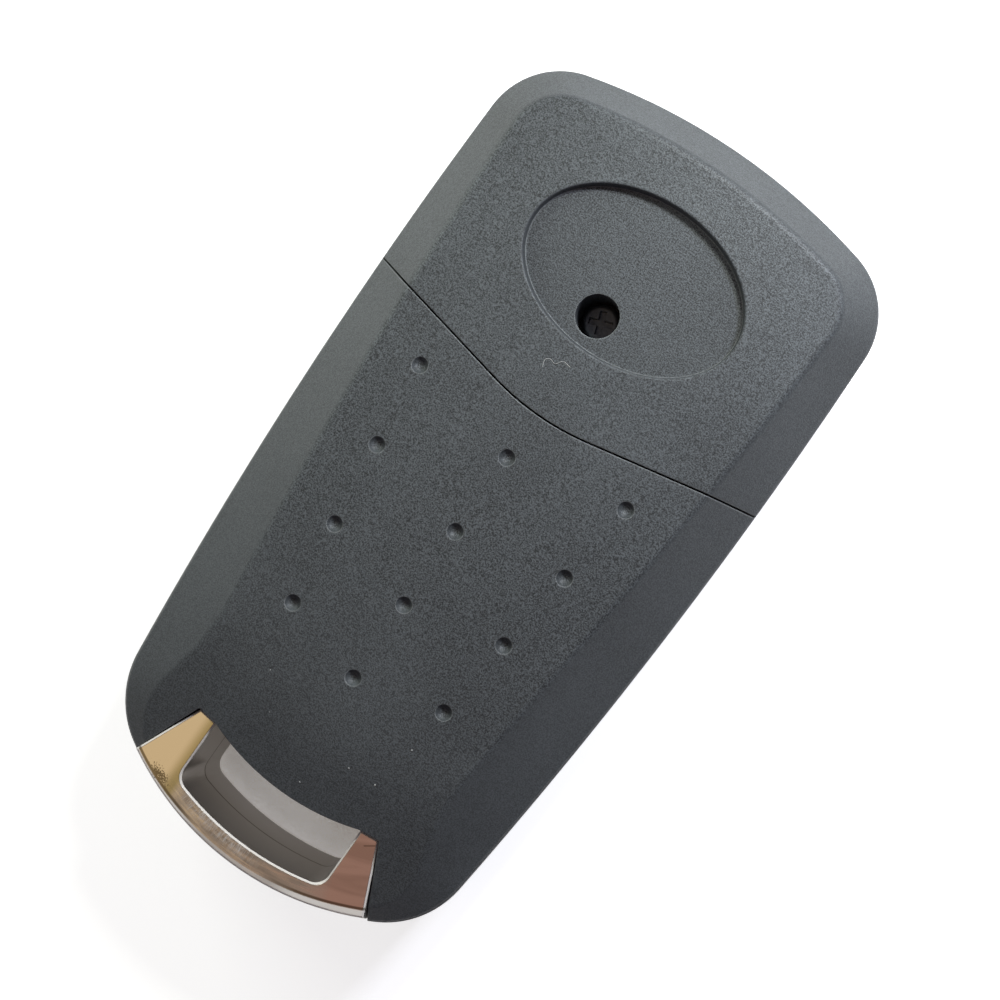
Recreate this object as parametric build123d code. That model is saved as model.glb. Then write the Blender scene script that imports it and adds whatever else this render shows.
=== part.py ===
"""Folding car key housing for a two-button remote, lying on its button face, back face up.

X runs across the key, Y from the ring bar towards the head, Z from the button face to the back face.
The origin is the middle of the footprint on the surface that the key lies on. All sizes are in millimetres.
"""
import os
from functools import cache
from math import degrees, radians, sqrt, tan

from build123d import *

# Outer form, seen from the back
LENGTH = 74.0            # ring bar to head end
WIDTH = 38.6             # at the widest level
THICK = 15.5             # button face to the crest of the back
BEVEL_H = 5.1            # crest down to the level where the sides are widest and the bevel starts
WIDEST_Y = 15.3          # place along the key where it is widest
SIDE_R = 420.0           # bow of the long sides
HEAD_R = 56.0            # bow of the head end
HEAD_CORNER_R = 7.0
RING_END_R = 26.1        # bow of the ring bar's outer edge
RING_CORNER_R = 8.5
SIDE_DRAFT = 0.35        # how far the sides lean in from the widest level to the front edge
FRONT_EDGE_Z = 3.8       # height of the slanted edge round the button face
FRONT_INSET = 3.0        # width of that slanted edge

# Back face: the bevel's upper end at crest height, and the crown that trims it
SIDE_BEVEL = 4.5         # bevel along the sides, seen from above
BACK_WIDEST_Y = 24.3
BACK_SIDE_R = 210.0
BACK_HEAD_DROP = 3.63    # head bevel, seen from above
BACK_HEAD_R = 47.0
BACK_HEAD_CORNER_R = 4.0
BACK_RING_DROP = 5.77
BACK_RING_R = 24.0
BACK_RING_CORNER_R = 6.0
CREST_Y = 8.3            # highest line of the back
CROWN_LONG_R = 420.0     # bow of the back along the key
CROWN_CROSS_R = 160.0    # bow of the back across the key
SLOPE_LENGTH = 13.77     # from the ring end to where the back turns down to it
SLOPE_END_UP = 0.48      # widest level to where the slope ends at the ring bar

# Softened creases
ROLL_R = 30.0            # where the back rolls down to the ring bar
BACK_EDGE_R = 0.9        # between the back face and its bevel
WIDEST_EDGE_R = 0.6
FRONT_EDGE_R = 0.8       # between the sides and the slanted edge of the button side
FOOT_EDGE_R = 0.5        # round the button face
RECESS_EDGE_R = 0.15

# Walls and gaps
WALL = 1.5               # casings
COVER_WALL = 1.4
SPLIT_Z = 7.0            # joint between the front and rear casings
SEAM_GAP = 0.16          # visible seam between head and cover
SEAT_GAP = 0.06          # between pieces that are clamped together
LIP_W = 0.7
LIP_H = 0.7
LIP_GAP = 0.1

# Seam between the exposed head and the battery cover: a shallow V with a rounded middle
HEAD_LENGTH = 28.18      # head end to the point of the V
SEAM_SLOPE = 0.205
SEAM_BEND_R = 23.0

# Badge recess in the head
RECESS_DOWN = 14.23      # head end to its middle
RECESS_HALF_LENGTH = 10.0
RECESS_HALF_WIDTH = 7.0
RECESS_DEPTH = 1.2
RECESS_WALL_DEG = 8.0

# Grip dimples in the cover
DIMPLE_D = 1.4
DIMPLE_DEPTH = 0.48
DIMPLE_PITCH = 7.4
DIMPLE_ROWS = 4
MID_COLUMN_DOWN = 3.83   # point of the V to the first dimple of the middle column
OUTER_COLUMN_DOWN = 1.75
OUTER_COLUMN_IN = 4.4    # bevel to the first dimple of an outer column
OUTER_COLUMN_LEAN = 0.118   # the outer columns close in towards the ring bar

# Ring bar
END_ARC_R = 22.0         # casing's end wall over the ring opening
END_ARC_UP = 8.17        # ring end to that wall
LUG_TOP_UP = 9.72
LUG_TOP_X = 9.4
LUG_FOOT_X = 12.05
LUG_FOOT_UP = 3.72
LUG_INNER_X = 7.55
RING_BAR_W = 2.56        # ring end to the opening
RING_INNER_R = 26.0
RING_INNER_CORNER_R = 1.4
RING_BASE_Z = 1.0
RING_TOP_DOWN = 3.2      # crest down to the bar's top
RING_DRAFT = 0.25         # lean of the bar's outer wall from its middle to its shoulders
RING_SHOULDER = 1.8      # height of the slanted shoulder
RING_SHOULDER_IN = 0.35
RING_HOLE_DRAFT = 0.4    # the opening is this much narrower at half height
RING_HOLE_BASE_IN = 0.3  # and this much at its base
BAR_EDGE = 0.15          # small bevel round the bar's top and bottom
TONGUE_H = 2.6           # hidden bar that ties the lugs inside the casing
TONGUE_T = 1.8
TONGUE_Z = 1.9
TONGUE_UP = 13.07
TONGUE_KEEP_X = 5.0      # half length of the rib that keeps the hidden bar in place

# Casing screw
SCREW_X = -0.8
SCREW_DOWN = 18.23       # head end to the screw
SCREW_HOLE_D = 3.7
SCREW_SEAT_Z = 8.4
SCREW_HEAD_D = 3.3
SCREW_HEAD_H = 1.2
SCREW_D = 1.9
SCREW_LENGTH = 5.4
SCREW_TIP_D = 0.5
CROSS_L = 2.05           # cross recess of the screw
CROSS_W = 0.53
CROSS_DEPTH = 0.7
CROSS_TURN = 20.0
BOSS_WALL = 1.15

# Flip mechanism
PIVOT_IN = 7.8           # widest side to the pivot
PIVOT_DOWN = 9.2         # head end to the pivot
BLADE_Z = 6.9            # middle of the blade's thickness
BLADE_T = 2.3
BLADE_W = 8.5
BLADE_OUT = 1.3          # pivot to the middle of the folded blade's width
BLADE_REACH = 54.2       # pivot to tip
BLADE_TIP = 4.0          # length of the pointed tip
BLADE_POINT_W = 2.8
BLADE_GROOVE_W = 2.6
BLADE_GROOVE_DEPTH = 0.45
TANG_W = 6.0
TANG_LENGTH = 5.4
SLOT_GAP = 0.35          # above and below the blade
SWING_GAP = 0.25         # beside the blade and round its tip
HUB_R = 7.35
HUB_H = 5.2
HUB_GAP = 0.15
NECK_REACH = 12.2        # pivot to the face that the blade comes out of
NECK_LEFT = 4.6          # from the blade's middle to the neck's inner side
NECK_CORNER_R = 1.2
POCKET_WALL = 1.2
CUP_R = 4.95             # bore of the hub that holds spring and button
CUP_FLOOR = 1.8
PIN_R = 0.75
PIN_BORE_R = 0.4
PIN_SLIT = 0.4
PIN_FIT = 0.02
TRUNNION_R = 1.6         # pin on the rear casing that the hub turns on
TRUNNION_BASE_R = 3.2
TRUNNION_GAP = 0.05
TRUNNION_TOP_GAP = 0.2   # left between button and hub when the button is down

# Release button and its spring
BUTTON_R = 3.9
BUTTON_FIT = 0.1
BUTTON_FLANGE_R = 4.6
BUTTON_FLANGE_H = 0.8
BUTTON_FACE_Z = 0.2
BUTTON_SKIRT_T = 0.5
BUTTON_TRAVEL = 2.0
KEYWAY_W = 1.6
KEYWAY_DEPTH = 0.7
KEYWAY_H = 1.0
SPRING_WIRE_D = 0.5
SPRING_R = 3.6
SPRING_TURNS = 3.5

# Lock and unlock keys
KEY_LENGTH = 12.0
KEY_WIDTH = 8.6
KEY_CORNER_R = 2.2
KEY_PITCH = 12.4
KEYS_DOWN = 17.3         # screw to the middle between the keys
KEY_SIDE_GAP = 0.35      # between a key's flange and the wall of the blade's slot
KEY_FACE_Z = 0.15
KEY_EDGE_R = 0.4
KEY_FIT = 0.12
KEY_FLANGE = 0.75
KEY_FLANGE_H = 0.6
KEY_TRAVEL = 0.8
PAD_T = 0.8
PAD_MARGIN = 2.2
PAD_RIB_T = 1.3
DOME_R = 3.0
DOME_TOP_R = 2.2

# Battery bay and cover
BAY_R = 10.3
BAY_WALL = 3.15          # from the blade's inner edge to the bay
BAY_DOWN = 16.55         # point of the V to the bay's middle
DECK_T = 1.2
DECK_LIP_W = 0.9
DECK_LIP_H = 1.2
TAB_IN = 5.3             # bevel to the middle of a tab
TAB_DOWN = 2.05
TAB_W = 4.0
TAB_T = 1.1
TAB_DROP = 1.6
TAB_GAP = 0.12

# Places that follow from the ends, the sides, the crest and the blade
WIDEST_Z = THICK - BEVEL_H
RING_TOP_Z = THICK - RING_TOP_DOWN
HEAD_Y = LENGTH / 2
RING_Y = -LENGTH / 2
BACK_HALF_WIDTH = WIDTH / 2 - SIDE_BEVEL
SLOPE_START = -RING_Y - SLOPE_LENGTH
SEAM_APEX_Y = HEAD_Y - HEAD_LENGTH
RECESS_Y = HEAD_Y - RECESS_DOWN
MID_COLUMN_Y = SEAM_APEX_Y - MID_COLUMN_DOWN
OUTER_COLUMN_Y = SEAM_APEX_Y - OUTER_COLUMN_DOWN
OUTER_COLUMN_X = BACK_HALF_WIDTH - OUTER_COLUMN_IN
END_ARC_Y = RING_Y + END_ARC_UP
LUG_TOP_Y = RING_Y + LUG_TOP_UP
LUG_FOOT_Y = RING_Y + LUG_FOOT_UP
RING_INNER_Y = RING_Y + RING_BAR_W
TONGUE_Y = RING_Y + TONGUE_UP
SCREW_Y = HEAD_Y - SCREW_DOWN
PIVOT_X = WIDTH / 2 - PIVOT_IN
PIVOT_Y = HEAD_Y - PIVOT_DOWN
BLADE_X = PIVOT_X + BLADE_OUT
BLADE_LEFT = BLADE_X - BLADE_W / 2
BLADE_RIGHT = BLADE_X + BLADE_W / 2
SLOT_WALL_X = BLADE_LEFT - SWING_GAP - POCKET_WALL
KEY_MID_X = SLOT_WALL_X - KEY_SIDE_GAP - KEY_FLANGE - KEY_LENGTH / 2
KEY_MID_Y = SCREW_Y - KEYS_DOWN
BAY_X = BLADE_LEFT - BAY_WALL - BAY_R
BAY_Y = SEAM_APEX_Y - BAY_DOWN
TAB_X = BACK_HALF_WIDTH - TAB_IN
TAB_Y = SEAM_APEX_Y - TAB_DOWN

# Other values that follow from the ones above
FAR = 2 * LENGTH
OVER = 1.0               # how far a cut runs past the face that it opens
LEVEL_TOL = 0.05
BEVEL_LEAN = SIDE_BEVEL / BEVEL_H
BEVEL_SLANT = sqrt(1 + BEVEL_LEAN**2)     # width of a wall's cut on the bevel, as a share of the wall
FRONT_LEAN = (FRONT_INSET - SIDE_DRAFT) / FRONT_EDGE_Z
FRONT_SLANT = sqrt(1 + FRONT_LEAN**2)     # the same on the slanted edge round the button face
HUB_Z0 = BLADE_Z - HUB_H / 2
HUB_Z1 = BLADE_Z + HUB_H / 2
SLOT_Z0 = BLADE_Z - BLADE_T / 2 - SLOT_GAP
SLOT_Z1 = BLADE_Z + BLADE_T / 2 + SLOT_GAP
HUB_LEFT = BLADE_X - NECK_LEFT
HUB_RIGHT = PIVOT_X + HUB_R
NECK_DIAGONAL = sqrt(NECK_REACH**2 + HUB_R**2)
DECK_Z0 = WIDEST_Z - DECK_T
FLANGE_Z = WALL + SEAT_GAP
HUB_FLOOR_Z = HUB_Z1 - CUP_FLOOR
PAD_Z = FLANGE_Z + KEY_FLANGE_H + SEAT_GAP + KEY_TRAVEL
RING_MID_Z = (RING_BASE_Z + RING_TOP_Z) / 2

SIDE_FORM = dict(
    half_width=WIDTH / 2, widest_y=WIDEST_Y, side_r=SIDE_R,
    head_y=HEAD_Y, head_r=HEAD_R, head_corner=HEAD_CORNER_R,
    ring_y=RING_Y, ring_r=RING_END_R, ring_corner=RING_CORNER_R,
)
BACK_FORM = dict(
    half_width=BACK_HALF_WIDTH, widest_y=BACK_WIDEST_Y, side_r=BACK_SIDE_R,
    head_y=HEAD_Y - BACK_HEAD_DROP, head_r=BACK_HEAD_R, head_corner=BACK_HEAD_CORNER_R,
    ring_y=RING_Y + BACK_RING_DROP, ring_r=BACK_RING_R, ring_corner=BACK_RING_CORNER_R,
)


def corner(form, end, inset):
    """Tangent points of one rounded corner on the right, on the side's arc and on the end's arc."""
    toward = 1 if end == "head" else -1
    side_mid = Vector(form["half_width"] - form["side_r"], form["widest_y"])
    end_mid = Vector(0, form[end + "_y"] - toward * form[end + "_r"])
    round_r = form[end + "_corner"]
    side_reach = form["side_r"] - round_r
    end_reach = form[end + "_r"] - round_r
    link = end_mid - side_mid
    along = (side_reach**2 - end_reach**2 + link.length**2) / (2 * link.length)
    across = sqrt(side_reach**2 - along**2)
    step = link.normalized()
    mid = side_mid + step * along + Vector(-step.Y, step.X) * across * toward
    on_side = side_mid + (mid - side_mid).normalized() * (form["side_r"] - inset)
    on_end = end_mid + (mid - end_mid).normalized() * (form[end + "_r"] - inset)
    return on_side, on_end, mid


def bow(mid, start, end):
    """Arc about mid, from start to end the short way."""
    reach = (start - mid).length
    return ThreePointArc(start, mid + ((start + end) / 2 - mid).normalized() * reach, end)


def plan(form, inset, z):
    """Closed outline at level z: four long arcs joined by four rounded corners, moved in by inset."""
    head_side, head_end, head_mid = corner(form, "head", inset)
    ring_side, ring_end, ring_mid = corner(form, "ring", inset)
    side_mid = Vector(form["half_width"] - form["side_r"], form["widest_y"])
    right = [
        bow(head_mid, head_end, head_side),
        bow(side_mid, head_side, ring_side),
        bow(ring_mid, ring_side, ring_end),
    ]
    left = [edge.mirror(Plane.YZ) for edge in right]
    head = bow(Vector(0, form["head_y"] - form["head_r"]), head_end, Vector(-head_end.X, head_end.Y))
    ring = bow(Vector(0, form["ring_y"] + form["ring_r"]), ring_end, Vector(-ring_end.X, ring_end.Y))
    return Pos(0, 0, z) * make_face(right + left + [head, ring])


def slab(z0, z1):
    """Everything between two levels."""
    return Pos(0, 0, (z0 + z1) / 2) * Box(FAR, FAR, z1 - z0)


def prism(sketch, z0, z1):
    """A flat outline drawn at level 0, raised from z0 to z1."""
    return Pos(0, 0, z0) * extrude(sketch, z1 - z0)


def disc(x, y, r, z0, z1):
    return Pos(x, y, (z0 + z1) / 2) * Cylinder(r, z1 - z0)


def block(x0, x1, y0, y1, z0, z1):
    return Pos((x0 + x1) / 2, (y0 + y1) / 2, (z0 + z1) / 2) * Box(x1 - x0, y1 - y0, z1 - z0)


def crown_z(x, y):
    """Height of the back's crown over the point x, y."""
    return THICK - (y - CREST_Y) ** 2 / (2 * CROWN_LONG_R) - x**2 / (2 * CROWN_CROSS_R)


def crown(shell):
    """Everything under the doubly bowed back, moved in by shell."""
    half = WIDTH
    top = THICK - shell
    edge = top - half**2 / (2 * CROWN_CROSS_R)
    arch = ThreePointArc((-half, 0, edge), (0, 0, top), (half, 0, edge))
    sides = Polyline((half, 0, edge), (half, 0, -WALL), (-half, 0, -WALL), (-half, 0, edge))
    section = Pos(0, CREST_Y, 0) * make_face([arch, sides])
    hinge = Axis((0, CREST_Y, THICK - CROWN_LONG_R), (1, 0, 0))
    reach = degrees(LENGTH / CROWN_LONG_R)
    return revolve(section.rotate(hinge, -reach), hinge, 2 * reach)


def ring_slope(shell):
    """Everything under the slope of the back towards the ring bar, moved in by shell."""
    crease_z = crown_z(0, -SLOPE_START) - shell
    fall = (crown_z(0, -SLOPE_START) - WIDEST_Z - SLOPE_END_UP) / SLOPE_LENGTH
    z0 = -OVER
    z1 = THICK + OVER
    wide = SLOPE_START + (crease_z - z0) / fall
    narrow = SLOPE_START + (crease_z - z1) / fall
    cone = Pos(0, 0, (z0 + z1) / 2) * Cone(wide, narrow, z1 - z0)
    return cone + block(-FAR, FAR, -SLOPE_START / 2, FAR, z0, z1)


def housing(shell):
    """Closed outer form of the whole key, or the same form moved in by a wall."""
    front_edge = FRONT_EDGE_Z + shell * (FRONT_SLANT - 1) / FRONT_LEAN
    widest = WIDEST_Z - shell * (BEVEL_SLANT - 1) / BEVEL_LEAN
    sections = [
        plan(SIDE_FORM, FRONT_INSET + shell * (FRONT_SLANT - FRONT_LEAN), shell),
        plan(SIDE_FORM, SIDE_DRAFT + shell, front_edge),
        plan(SIDE_FORM, shell, widest),
        plan(BACK_FORM, shell * BEVEL_SLANT, THICK),
    ]
    form = loft(sections, ruled=True)
    return form & crown(shell) & ring_slope(shell)


def level_edges(form, z):
    """Edges of a form that lie wholly on one level."""
    return [edge for edge in form.edges() if max(abs((edge @ t).Z - z) for t in (0, 0.5, 1)) < LEVEL_TOL]


def crease_edges(form):
    """Creases of the back that lie wholly above the widest level."""
    return [edge for edge in form.edges() if min((edge @ t).Z for t in (0, 1)) > WIDEST_Z + LEVEL_TOL]


def from_roll(edge):
    """How far an edge passes the middle of the line where the back turns down to the ring bar."""
    return (edge @ 0.5 - Vector(0, -SLOPE_START, crown_z(0, -SLOPE_START))).length


@cache
def outside():
    """Closed outer form with its creases softened, widest where the back rolls down to the ring bar."""
    form = housing(0)
    form = fillet(min(crease_edges(form), key=from_roll), ROLL_R)
    roll_lines = sorted(crease_edges(form), key=from_roll)[:2]
    form = fillet([edge for edge in crease_edges(form) if edge not in roll_lines], BACK_EDGE_R)
    form = fillet(level_edges(form, WIDEST_Z), WIDEST_EDGE_R)
    form = fillet(level_edges(form, FRONT_EDGE_Z), FRONT_EDGE_R)
    return fillet(level_edges(form, 0), FOOT_EDGE_R)


def ring_zone(margin):
    """Ground plan of the ring bar's end, grown by margin: what the casings and the cover leave free."""
    lean = (LUG_FOOT_X - LUG_TOP_X) / (LUG_FOOT_Y - LUG_TOP_Y)
    low = RING_Y - WALL
    low_x = LUG_TOP_X + lean * (low - LUG_TOP_Y)
    shoulder_y = END_ARC_Y + END_ARC_R - sqrt(END_ARC_R**2 - LUG_INNER_X**2)
    points = [
        (LUG_INNER_X, shoulder_y), (LUG_TOP_X, LUG_TOP_Y), (low_x, low),
        (-low_x, low), (-LUG_TOP_X, LUG_TOP_Y), (-LUG_INNER_X, shoulder_y),
    ]
    arc = ThreePointArc(points[-1], (0, END_ARC_Y), points[0])
    zone = make_face([arc, Polyline(*points)])
    return offset(zone, margin, kind=Kind.INTERSECTION) if margin else zone


def seam_side(shift):
    """Ground plan of all that lies on the ring side of the seam, with the seam moved by shift."""
    apex = SEAM_APEX_Y + shift
    rise = SEAM_SLOPE * WIDTH
    line = FilletPolyline((-WIDTH, apex + rise), (0, apex), (WIDTH, apex + rise), radius=SEAM_BEND_R)
    rest = Polyline((WIDTH, apex + rise), (WIDTH, -LENGTH), (-WIDTH, -LENGTH), (-WIDTH, apex + rise))
    return make_face([line, rest])


def swing_zone(reach, rest_left, z0, z1):
    """Room that the blade or its neck sweeps when it flips from the side of the key to the head end."""
    open_left = 2 * PIVOT_X - HUB_RIGHT if reach < BLADE_REACH else 2 * PIVOT_X - BLADE_RIGHT
    zone = disc(PIVOT_X, PIVOT_Y, reach + SWING_GAP, z0, z1)
    rest = block(rest_left - SWING_GAP, FAR, -FAR, PIVOT_Y, z0, z1)
    opened = block(open_left - SWING_GAP, FAR, PIVOT_Y, FAR, z0, z1)
    return zone & (rest + opened)


def flip_room():
    """Slot of the blade, pocket of the hub and room for its neck."""
    slot = swing_zone(BLADE_REACH, BLADE_LEFT, SLOT_Z0, SLOT_Z1)
    neck = swing_zone(NECK_DIAGONAL, HUB_LEFT, HUB_Z0 - HUB_GAP, HUB_Z1 + HUB_GAP)
    hub = disc(PIVOT_X, PIVOT_Y, HUB_R + HUB_GAP, HUB_Z0 - HUB_GAP, HUB_Z1 + HUB_GAP)
    return slot + neck + hub


def slot_walls(z0, z1):
    """Inner walls that part the blade's slot and the hub's pocket from the room for the board."""
    rib = block(SLOT_WALL_X, SLOT_WALL_X + POCKET_WALL, TONGUE_Y + SEAT_GAP, PIVOT_Y - HUB_R, z0, z1)
    outer = disc(PIVOT_X, PIVOT_Y, HUB_R + HUB_GAP + POCKET_WALL, z0, z1)
    return rib + (outer - disc(PIVOT_X, PIVOT_Y, HUB_R + HUB_GAP, z0, z1))


def key_places():
    return {"lock_key": KEY_MID_Y + KEY_PITCH / 2, "unlock_key": KEY_MID_Y - KEY_PITCH / 2}


def key_outline(y, margin):
    size = 2 * margin
    return Pos(KEY_MID_X, y) * RectangleRounded(KEY_LENGTH + size, KEY_WIDTH + size, KEY_CORNER_R + margin)


def lip(inner_gap, outer_gap, z1):
    """Locating lip on the joint of the casings, left out where the blade swings."""
    wide = plan(SIDE_FORM, WALL - LIP_W - outer_gap, 0)
    narrow = plan(SIDE_FORM, WALL + inner_gap, 0)
    ring = prism(wide, SPLIT_Z - LIP_H, z1) - prism(narrow, SPLIT_Z - LIP_H, z1)
    return ring & block(-FAR, 0, TONGUE_Y, HEAD_Y, SPLIT_Z - LIP_H, z1)


def front_casing():
    outer = outside() & slab(-OVER, SPLIT_Z)
    room = housing(WALL) & slab(0, SPLIT_Z + OVER)
    room -= prism(ring_zone(WALL), -OVER, SPLIT_Z + OVER)
    casing = outer - room - prism(ring_zone(SEAT_GAP), -OVER, SPLIT_Z + OVER)
    walls = slot_walls(WALL, SPLIT_Z)
    seat_z = HUB_Z0 - HUB_GAP
    seat = disc(PIVOT_X, PIVOT_Y, HUB_R, WALL, seat_z) - disc(PIVOT_X, PIVOT_Y, CUP_R, WALL, seat_z)
    boss = disc(SCREW_X, SCREW_Y, SCREW_D / 2 + BOSS_WALL, WALL, SPLIT_Z)
    keep = block(-TONGUE_KEEP_X, TONGUE_KEEP_X, TONGUE_Y + SEAT_GAP, TONGUE_Y + POCKET_WALL,
                 WALL, TONGUE_Z + TONGUE_H)
    casing += (walls + seat + boss + keep + pad_ribs()) & housing(WALL / 2)
    casing += lip(0, 0, SPLIT_Z + LIP_H)
    casing -= flip_room()
    casing -= disc(SCREW_X, SCREW_Y, SCREW_D / 2 + PIN_FIT, SCREW_SEAT_Z - SCREW_LENGTH - WALL / 2, SPLIT_Z)
    casing -= disc(PIVOT_X, PIVOT_Y, BUTTON_R + BUTTON_FIT, -OVER, FLANGE_Z)
    casing -= disc(PIVOT_X, PIVOT_Y, CUP_R, FLANGE_Z - SEAT_GAP, HUB_Z0)
    for y in key_places().values():
        casing -= prism(key_outline(y, KEY_FIT), -OVER, WALL + SEAT_GAP)
    for side in (-1, 1):
        mid = side * (LUG_INNER_X + LUG_TOP_X) / 2
        half = (LUG_TOP_X - LUG_INNER_X) / 2 + SEAT_GAP
        casing -= block(mid - half, mid + half, LUG_TOP_Y - WALL, TONGUE_Y, TONGUE_Z - SEAT_GAP, SPLIT_Z)
    return casing


def rear_casing():
    floor_z = crown_z(0, RECESS_Y) - RECESS_DEPTH
    outer = recessed(outside(), floor_z) & slab(SPLIT_Z, THICK + OVER)
    head_only = prism(seam_side(SEAM_GAP / 2), WIDEST_Z, THICK + OVER)
    outer -= head_only
    room = housing(WALL) & slab(0, THICK + OVER)
    room -= prism(ring_zone(WALL), -OVER, THICK + OVER)
    under_deck = prism(seam_side(WALL), DECK_Z0, THICK + OVER)
    room -= under_deck
    casing = outer - room - prism(ring_zone(SEAT_GAP), -OVER, THICK + OVER)
    thick_deck = swing_zone(BLADE_REACH, BLADE_LEFT, SLOT_Z1, WIDEST_Z) & prism(seam_side(0), 0, WIDEST_Z)
    thick_deck -= prism(ring_zone(SEAT_GAP), 0, THICK)
    inner = housing(WALL / 2) - head_only - recess_cut(floor_z)
    boss_r = SCREW_HOLE_D / 2 + BOSS_WALL
    boss = disc(SCREW_X, SCREW_Y, boss_r, SPLIT_Z + SEAT_GAP, THICK)
    tray = prism(recess_outline(WALL), floor_z - WALL, THICK)
    pivot = disc(PIVOT_X, PIVOT_Y, TRUNNION_BASE_R, HUB_Z1 + HUB_GAP, THICK)
    casing += (slot_walls(SPLIT_Z, THICK) + boss + tray + pivot + thick_deck) & inner
    casing += deck_lip()
    casing -= flip_room()
    casing += disc(PIVOT_X, PIVOT_Y, TRUNNION_R, HUB_FLOOR_Z + SEAT_GAP, HUB_Z1 + HUB_GAP)
    casing -= disc(SCREW_X, SCREW_Y, SCREW_HOLE_D / 2, SCREW_SEAT_Z, THICK)
    casing -= disc(SCREW_X, SCREW_Y, SCREW_D / 2 + LIP_GAP, SPLIT_Z, SCREW_SEAT_Z)
    casing -= lip(LIP_GAP, LIP_GAP, SPLIT_Z + LIP_H + LIP_GAP)
    casing -= disc(BAY_X, BAY_Y, BAY_R, SPLIT_Z, WIDEST_Z + DECK_LIP_H + OVER)
    for side in (-1, 1):
        casing -= tab(side, TAB_GAP)
    return casing


def recess_outline(margin):
    return Pos(0, RECESS_Y) * Ellipse(RECESS_HALF_LENGTH + margin, RECESS_HALF_WIDTH + margin)


def recess_cut(floor_z):
    """Oval recess with a flat floor; its wall leans out a little."""
    depth = RECESS_DEPTH + OVER
    shrink = RECESS_DEPTH * tan(radians(RECESS_WALL_DEG))
    grow = tan(radians(RECESS_WALL_DEG)) * (depth - RECESS_DEPTH)
    low = Pos(0, 0, floor_z) * recess_outline(-shrink)
    high = Pos(0, 0, floor_z + depth) * recess_outline(grow)
    return loft([low, high], ruled=True)


def recessed(form, floor_z):
    """Cuts the recess and rounds its rim."""
    form -= recess_cut(floor_z)
    loops = [edge for edge in form.edges() if edge.is_closed]
    return fillet(sorted(loops, key=lambda edge: edge.center().Z)[-1], RECESS_EDGE_R)


def deck_lip():
    """Low wall on the deck that stands inside the battery cover."""
    outside = COVER_WALL + 2 * LIP_GAP
    ring = housing(outside) - housing(outside + DECK_LIP_W)
    ring &= prism(seam_side(-TAB_T), WIDEST_Z - DECK_T / 2, WIDEST_Z + DECK_LIP_H)
    return ring - prism(ring_zone(outside), 0, THICK)


def tab(side, gap):
    """Locating tab of the battery cover, or its slot in the deck."""
    low = WIDEST_Z - TAB_DROP - gap
    half = TAB_W / 2 + gap
    return block(side * TAB_X - half, side * TAB_X + half, TAB_Y - TAB_T / 2 - gap, TAB_Y + TAB_T / 2 + gap,
                 low, THICK - COVER_WALL)


def battery_cover():
    level = WIDEST_Z + SEAT_GAP
    outer = outside() & prism(seam_side(-SEAM_GAP / 2), level, THICK + OVER)
    outer -= prism(ring_zone(SEAT_GAP), 0, THICK + OVER)
    room = housing(COVER_WALL) - prism(ring_zone(COVER_WALL), -OVER, THICK + OVER)
    cover = outer - room
    inside = housing(COVER_WALL / 2)
    for side in (-1, 1):
        cover += tab(side, 0) & inside
    return cover - [dimple(x, y) for x, y in dimple_places()]


def dimple_places():
    """Three columns of four: the middle one is half a pitch lower."""
    places = []
    for row in range(DIMPLE_ROWS):
        y = OUTER_COLUMN_Y - row * DIMPLE_PITCH
        x = OUTER_COLUMN_X - OUTER_COLUMN_LEAN * row * DIMPLE_PITCH
        places += [(-x, y), (x, y), (0, MID_COLUMN_Y - row * DIMPLE_PITCH)]
    return places


def dimple(x, y):
    """Shallow ball-shaped hollow in the back face."""
    r = (DIMPLE_D**2 / 4 + DIMPLE_DEPTH**2) / (2 * DIMPLE_DEPTH)
    return Pos(x, y, crown_z(x, y) - DIMPLE_DEPTH + r) * Sphere(r)


def key_ring_bar():
    base = RING_BASE_Z
    top = RING_TOP_Z
    edge = BAR_EDGE
    flat_in = RING_DRAFT + RING_SHOULDER_IN
    outer_levels = [
        (base, flat_in + edge), (base + edge, flat_in), (base + RING_SHOULDER, RING_DRAFT), (RING_MID_Z, 0),
        (top - RING_SHOULDER, RING_DRAFT), (top - edge, flat_in), (top, flat_in + edge),
    ]
    lug_levels = [(base, edge), (base + edge, 0), (top - edge, 0), (top, edge)]
    hole_levels = [
        (base, RING_HOLE_BASE_IN - edge), (base + edge, RING_HOLE_BASE_IN), (RING_MID_Z, RING_HOLE_DRAFT),
        (top - edge, 0), (top, -edge),
    ]
    bar = loft([plan(SIDE_FORM, inset, z) for z, inset in outer_levels], ruled=True)
    bar &= loft([Pos(0, 0, z) * ring_zone(-SEAT_GAP - inset) for z, inset in lug_levels], ruled=True)
    bar -= loft([ring_hole(inset, z) for z, inset in hole_levels], ruled=True)
    z0 = TONGUE_Z
    z1 = TONGUE_Z + TONGUE_H
    for side in (-1, 1):
        mid = side * (LUG_INNER_X + LUG_TOP_X) / 2
        half = (LUG_TOP_X - LUG_INNER_X) / 2 - SEAT_GAP
        bar += block(mid - half, mid + half, LUG_TOP_Y - WALL / 2, TONGUE_Y, z0, z1)
    bar += block(-LUG_TOP_X, LUG_TOP_X, TONGUE_Y - TONGUE_T, TONGUE_Y, z0, z1)
    return bar - swing_zone(BLADE_REACH, BLADE_LEFT, SLOT_Z0, SLOT_Z1)


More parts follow.
